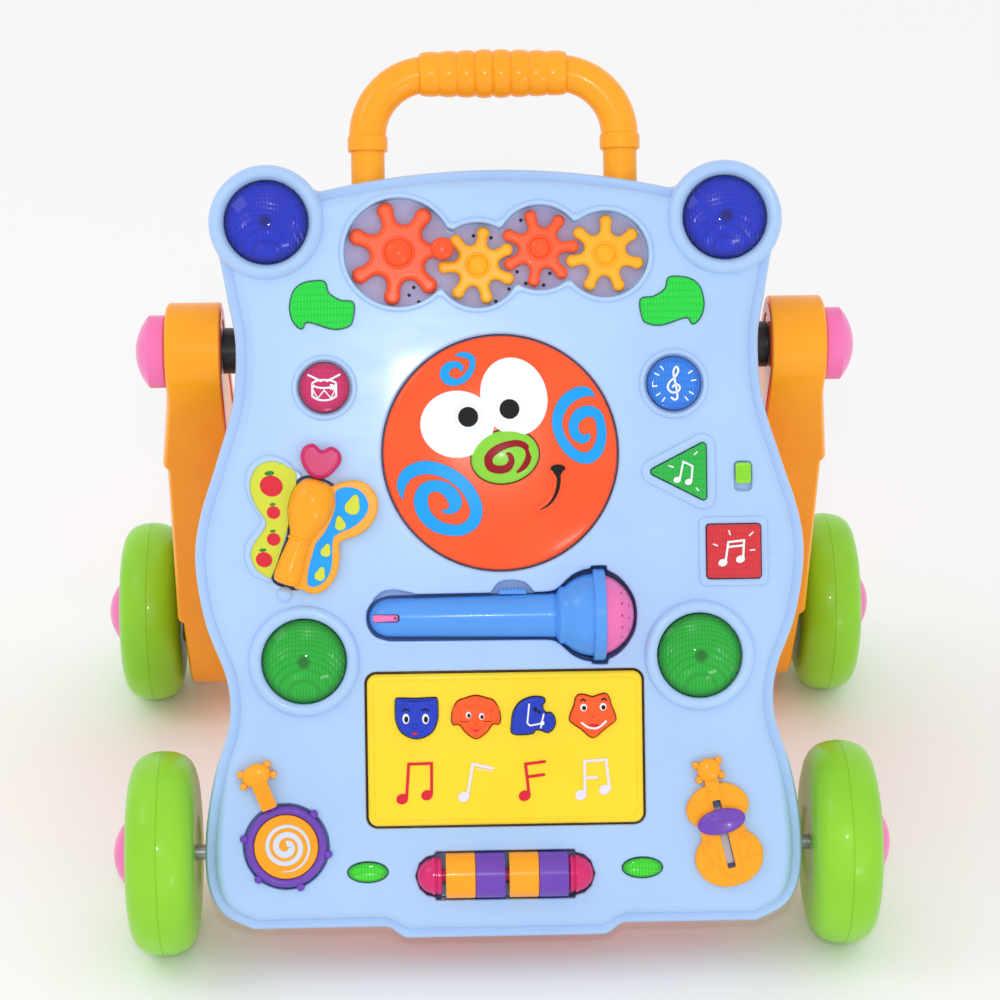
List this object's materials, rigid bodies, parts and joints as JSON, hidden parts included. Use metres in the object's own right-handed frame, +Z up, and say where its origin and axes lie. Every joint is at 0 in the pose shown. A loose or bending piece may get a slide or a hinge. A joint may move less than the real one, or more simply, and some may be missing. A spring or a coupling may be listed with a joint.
{
  "type": "baby walker",
  "caption": "Push-along baby walker: leaning activity panel with lamps, gears, keys and a microphone, hooped handle, four wheels and folding rear legs.",
  "frame": {"origin": "on the floor, in the middle between the left and right wheels and between the front and rear wheels", "axes": "+X to the right as seen when facing the activity panel, -Y the side that the panel faces, +Z up"},
  "size_m": [0.4636, 0.364, 0.4358],
  "materials": {
    "panel_blue": "satin pale-blue moulded ABS",
    "housing_orange": "satin orange-red moulded ABS",
    "yellow_orange": "satin yellow-orange moulded ABS",
    "wheel_lime": "satin lime-green moulded ABS",
    "pink": "satin pink moulded ABS",
    "magenta": "glossy magenta moulded ABS",
    "black_tube": "satin black paint on steel",
    "steel": "plain bright steel",
    "board": "solder-masked circuit board",
    "speaker_black": "black pressed speaker frame",
    "cell_grey": null,
    "lens_blue": "translucent blue lamp cover",
    "lens_green": "translucent green lamp cover",
    "leaf_green": "translucent green textured plastic",
    "plate_yellow": "glossy bright yellow plastic",
    "gear_red": "glossy orange-red plastic",
    "gear_yellow": "glossy yellow plastic",
    "purple": "glossy purple plastic",
    "mic_blue": "satin sky-blue plastic",
    "button_green": "glossy green plastic",
    "button_blue": "translucent blue textured plastic",
    "button_red": "translucent red textured plastic"
  },
  "bodies": {
    "console": {"front_panel": "panel_blue", "rear_housing": "housing_orange", "battery_door": "housing_orange", "battery_cells": "cell_grey", "housing_screws": "steel", "circuit_board": "board", "speaker": "speaker_black", "corner_lenses": "lens_blue", "round_lenses": "lens_green", "leaf_lenses": "leaf_green", "front_axle": "steel", "handle_posts": "yellow_orange", "handle_bow": "yellow_orange", "keyboard_plate": "plate_yellow", "banjo_neck": "gear_yellow", "violin_body": "gear_yellow", "heart_cap": "magenta", "roller_axle": "magenta"},
    "leg_frame": {"left_leg": "yellow_orange", "right_leg": "yellow_orange", "leg_inner_covers": "housing_orange", "pivot_knobs": "pink", "rear_axles": "steel", "pivot_tube": "black_tube"},
    "front_left_wheel_set": {"front_left_wheel": "wheel_lime", "front_left_cap": "pink"},
    "front_right_wheel_set": {"front_right_wheel": "wheel_lime", "front_right_cap": "pink"},
    "rear_left_wheel_set": {"rear_left_wheel": "wheel_lime", "rear_left_cap": "pink"},
    "rear_right_wheel_set": {"rear_right_wheel": "wheel_lime", "rear_right_cap": "pink"},
    "gear_one_wheel": {"gear_one": "gear_red"},
    "gear_two_wheel": {"gear_two": "gear_yellow"},
    "gear_three_wheel": {"gear_three": "gear_red"},
    "gear_four_wheel": {"gear_four": "gear_yellow"},
    "face": {"face_disc": "gear_red"},
    "nose": {"nose_button": "button_green"},
    "drum_key": {"drum_button": "magenta"},
    "clef_key": {"clef_button": "button_blue"},
    "triangle_key": {"triangle_button": "leaf_green"},
    "square_key": {"square_button": "button_red"},
    "left_oval_key": {"left_oval_button": "button_green"},
    "right_oval_key": {"right_oval_button": "button_green"},
    "cat_key": {"cat_button": "button_blue"},
    "puppy_key": {"puppy_button": "gear_red"},
    "horse_key": {"horse_button": "button_blue"},
    "frog_key": {"frog_button": "gear_red"},
    "power_slider": {"power_switch": "wheel_lime"},
    "flap": {"butterfly_flap": "gear_yellow"},
    "banjo_dial": {"banjo_ring": "purple", "banjo_head": "gear_yellow"},
    "violin_knob": {"violin_slider": "purple"},
    "roller_one_barrel": {"roller_one": "gear_yellow"},
    "roller_two_barrel": {"roller_two": "purple"},
    "roller_three_barrel": {"roller_three": "gear_yellow"},
    "roller_four_barrel": {"roller_four": "purple"},
    "microphone": {"mic_barrel": "mic_blue", "mic_trim": "pink"},
    "mic_slider": {"mic_switch": "mic_blue"}
  },
  "joints": [
    {"name": "leg_fold", "type": "hinge", "parent": "console", "child": "leg_frame", "pos_m": [0, 0.00618, 0.28505], "axis": [-1, 0, 0], "range_deg": [0, 30]},
    {"name": "front_left_roll", "type": "hinge", "parent": "console", "child": "front_left_wheel_set", "pos_m": [-0.18, -0.128, 0.054], "axis": [1, 0, 0], "continuous": true},
    {"name": "front_right_roll", "type": "hinge", "parent": "console", "child": "front_right_wheel_set", "pos_m": [0.18, -0.128, 0.054], "axis": [1, 0, 0], "continuous": true},
    {"name": "rear_left_roll", "type": "hinge", "parent": "leg_frame", "child": "rear_left_wheel_set", "pos_m": [-0.205, 0.128, 0.054], "axis": [1, 0, 0], "continuous": true},
    {"name": "rear_right_roll", "type": "hinge", "parent": "leg_frame", "child": "rear_right_wheel_set", "pos_m": [0.205, 0.128, 0.054], "axis": [1, 0, 0], "continuous": true},
    {"name": "gear_one_spin", "type": "hinge", "parent": "console", "child": "gear_one_wheel", "pos_m": [-0.051, -0.01209, 0.34868], "axis": [0, -0.8829, 0.4695], "continuous": true},
    {"name": "gear_two_spin", "type": "hinge", "parent": "console", "child": "gear_two_wheel", "pos_m": [-0.0099, -0.01542, 0.34241], "axis": [0, -0.8829, 0.4695], "continuous": true},
    {"name": "gear_three_spin", "type": "hinge", "parent": "console", "child": "gear_three_wheel", "pos_m": [0.0226, -0.01129, 0.35018], "axis": [0, -0.8829, 0.4695], "continuous": true},
    {"name": "gear_four_spin", "type": "hinge", "parent": "console", "child": "gear_four_wheel", "pos_m": [0.0568, -0.01308, 0.34682], "axis": [0, -0.8829, 0.4695], "continuous": true},
    {"name": "face_turn", "type": "hinge", "parent": "console", "child": "face", "pos_m": [0.0005, -0.06138, 0.25597], "axis": [0, -0.8829, 0.4695], "range_deg": [-30, 30]},
    {"name": "nose_press", "type": "slide", "parent": "face", "child": "nose", "axis": [0, 0.8829, -0.4695], "range_m": [0, 0.002], "stiffness_N_per_m": 300, "springref_m": -0.001},
    {"name": "drum_key_press", "type": "slide", "parent": "console", "child": "drum_key", "axis": [0, 0.8829, -0.4695], "range_m": [0, 0.002], "stiffness_N_per_m": 300, "springref_m": -0.001},
    {"name": "clef_key_press", "type": "slide", "parent": "console", "child": "clef_key", "axis": [0, 0.8829, -0.4695], "range_m": [0, 0.002], "stiffness_N_per_m": 300, "springref_m": -0.001},
    {"name": "triangle_key_press", "type": "slide", "parent": "console", "child": "triangle_key", "axis": [0, 0.8829, -0.4695], "range_m": [0, 0.002], "stiffness_N_per_m": 300, "springref_m": -0.001},
    {"name": "square_key_press", "type": "slide", "parent": "console", "child": "square_key", "axis": [0, 0.8829, -0.4695], "range_m": [0, 0.002], "stiffness_N_per_m": 300, "springref_m": -0.001},
    {"name": "left_oval_key_press", "type": "slide", "parent": "console", "child": "left_oval_key", "axis": [0, 0.8829, -0.4695], "range_m": [0, 0.002], "stiffness_N_per_m": 300, "springref_m": -0.001},
    {"name": "right_oval_key_press", "type": "slide", "parent": "console", "child": "right_oval_key", "axis": [0, 0.8829, -0.4695], "range_m": [0, 0.002], "stiffness_N_per_m": 300, "springref_m": -0.001},
    {"name": "cat_key_press", "type": "slide", "parent": "console", "child": "cat_key", "axis": [0, 0.8829, -0.4695], "range_m": [0, 0.002], "stiffness_N_per_m": 300, "springref_m": -0.001},
    {"name": "puppy_key_press", "type": "slide", "parent": "console", "child": "puppy_key", "axis": [0, 0.8829, -0.4695], "range_m": [0, 0.002], "stiffness_N_per_m": 300, "springref_m": -0.001},
    {"name": "horse_key_press", "type": "slide", "parent": "console", "child": "horse_key", "axis": [0, 0.8829, -0.4695], "range_m": [0, 0.002], "stiffness_N_per_m": 300, "springref_m": -0.001},
    {"name": "frog_key_press", "type": "slide", "parent": "console", "child": "frog_key", "axis": [0, 0.8829, -0.4695], "range_m": [0, 0.002], "stiffness_N_per_m": 300, "springref_m": -0.001},
    {"name": "power_slide", "type": "slide", "parent": "console", "child": "power_slider", "axis": [0, -0.4695, -0.8829], "range_m": [0, 0.004]},
    {"name": "flap_turn", "type": "hinge", "parent": "console", "child": "flap", "pos_m": [-0.0936, -0.06979, 0.24549], "axis": [-0.3256, -0.4439, -0.8348], "range_deg": [0, 170]},
    {"name": "banjo_spin", "type": "hinge", "parent": "console", "child": "banjo_dial", "pos_m": [-0.1137, -0.15673, 0.07664], "axis": [0, -0.8829, 0.4695], "continuous": true},
    {"name": "violin_slide", "type": "slide", "parent": "console", "child": "violin_knob", "axis": [-0.2198, 0.458, 0.8613], "range_m": [-0.0165, 0.008]},
    {"name": "roller_one_spin", "type": "hinge", "parent": "console", "child": "roller_one_barrel", "pos_m": [-0.02335, -0.16369, 0.06143], "axis": [1, 0, 0], "continuous": true},
    {"name": "roller_two_spin", "type": "hinge", "parent": "console", "child": "roller_two_barrel", "pos_m": [-0.00785, -0.16369, 0.06143], "axis": [1, 0, 0], "continuous": true},
    {"name": "roller_three_spin", "type": "hinge", "parent": "console", "child": "roller_three_barrel", "pos_m": [0.00955, -0.16369, 0.06143], "axis": [1, 0, 0], "continuous": true},
    {"name": "roller_four_spin", "type": "hinge", "parent": "console", "child": "roller_four_barrel", "pos_m": [0.02505, -0.16369, 0.06143], "axis": [1, 0, 0], "continuous": true},
    {"name": "mic_lift", "type": "slide", "parent": "console", "child": "microphone", "axis": [0, -0.8829, 0.4695], "range_m": [0, 0.06]},
    {"name": "mic_switch_slide", "type": "slide", "parent": "microphone", "child": "mic_slider", "axis": [1, 0, 0], "range_m": [-0.002, 0.002]}
  ],
  "couplings": [
    {"joint": "gear_two_spin", "follows": "gear_one_spin", "ratio": -1},
    {"joint": "gear_three_spin", "follows": "gear_one_spin", "ratio": 1},
    {"joint": "gear_four_spin", "follows": "gear_one_spin", "ratio": -1}
  ]
}
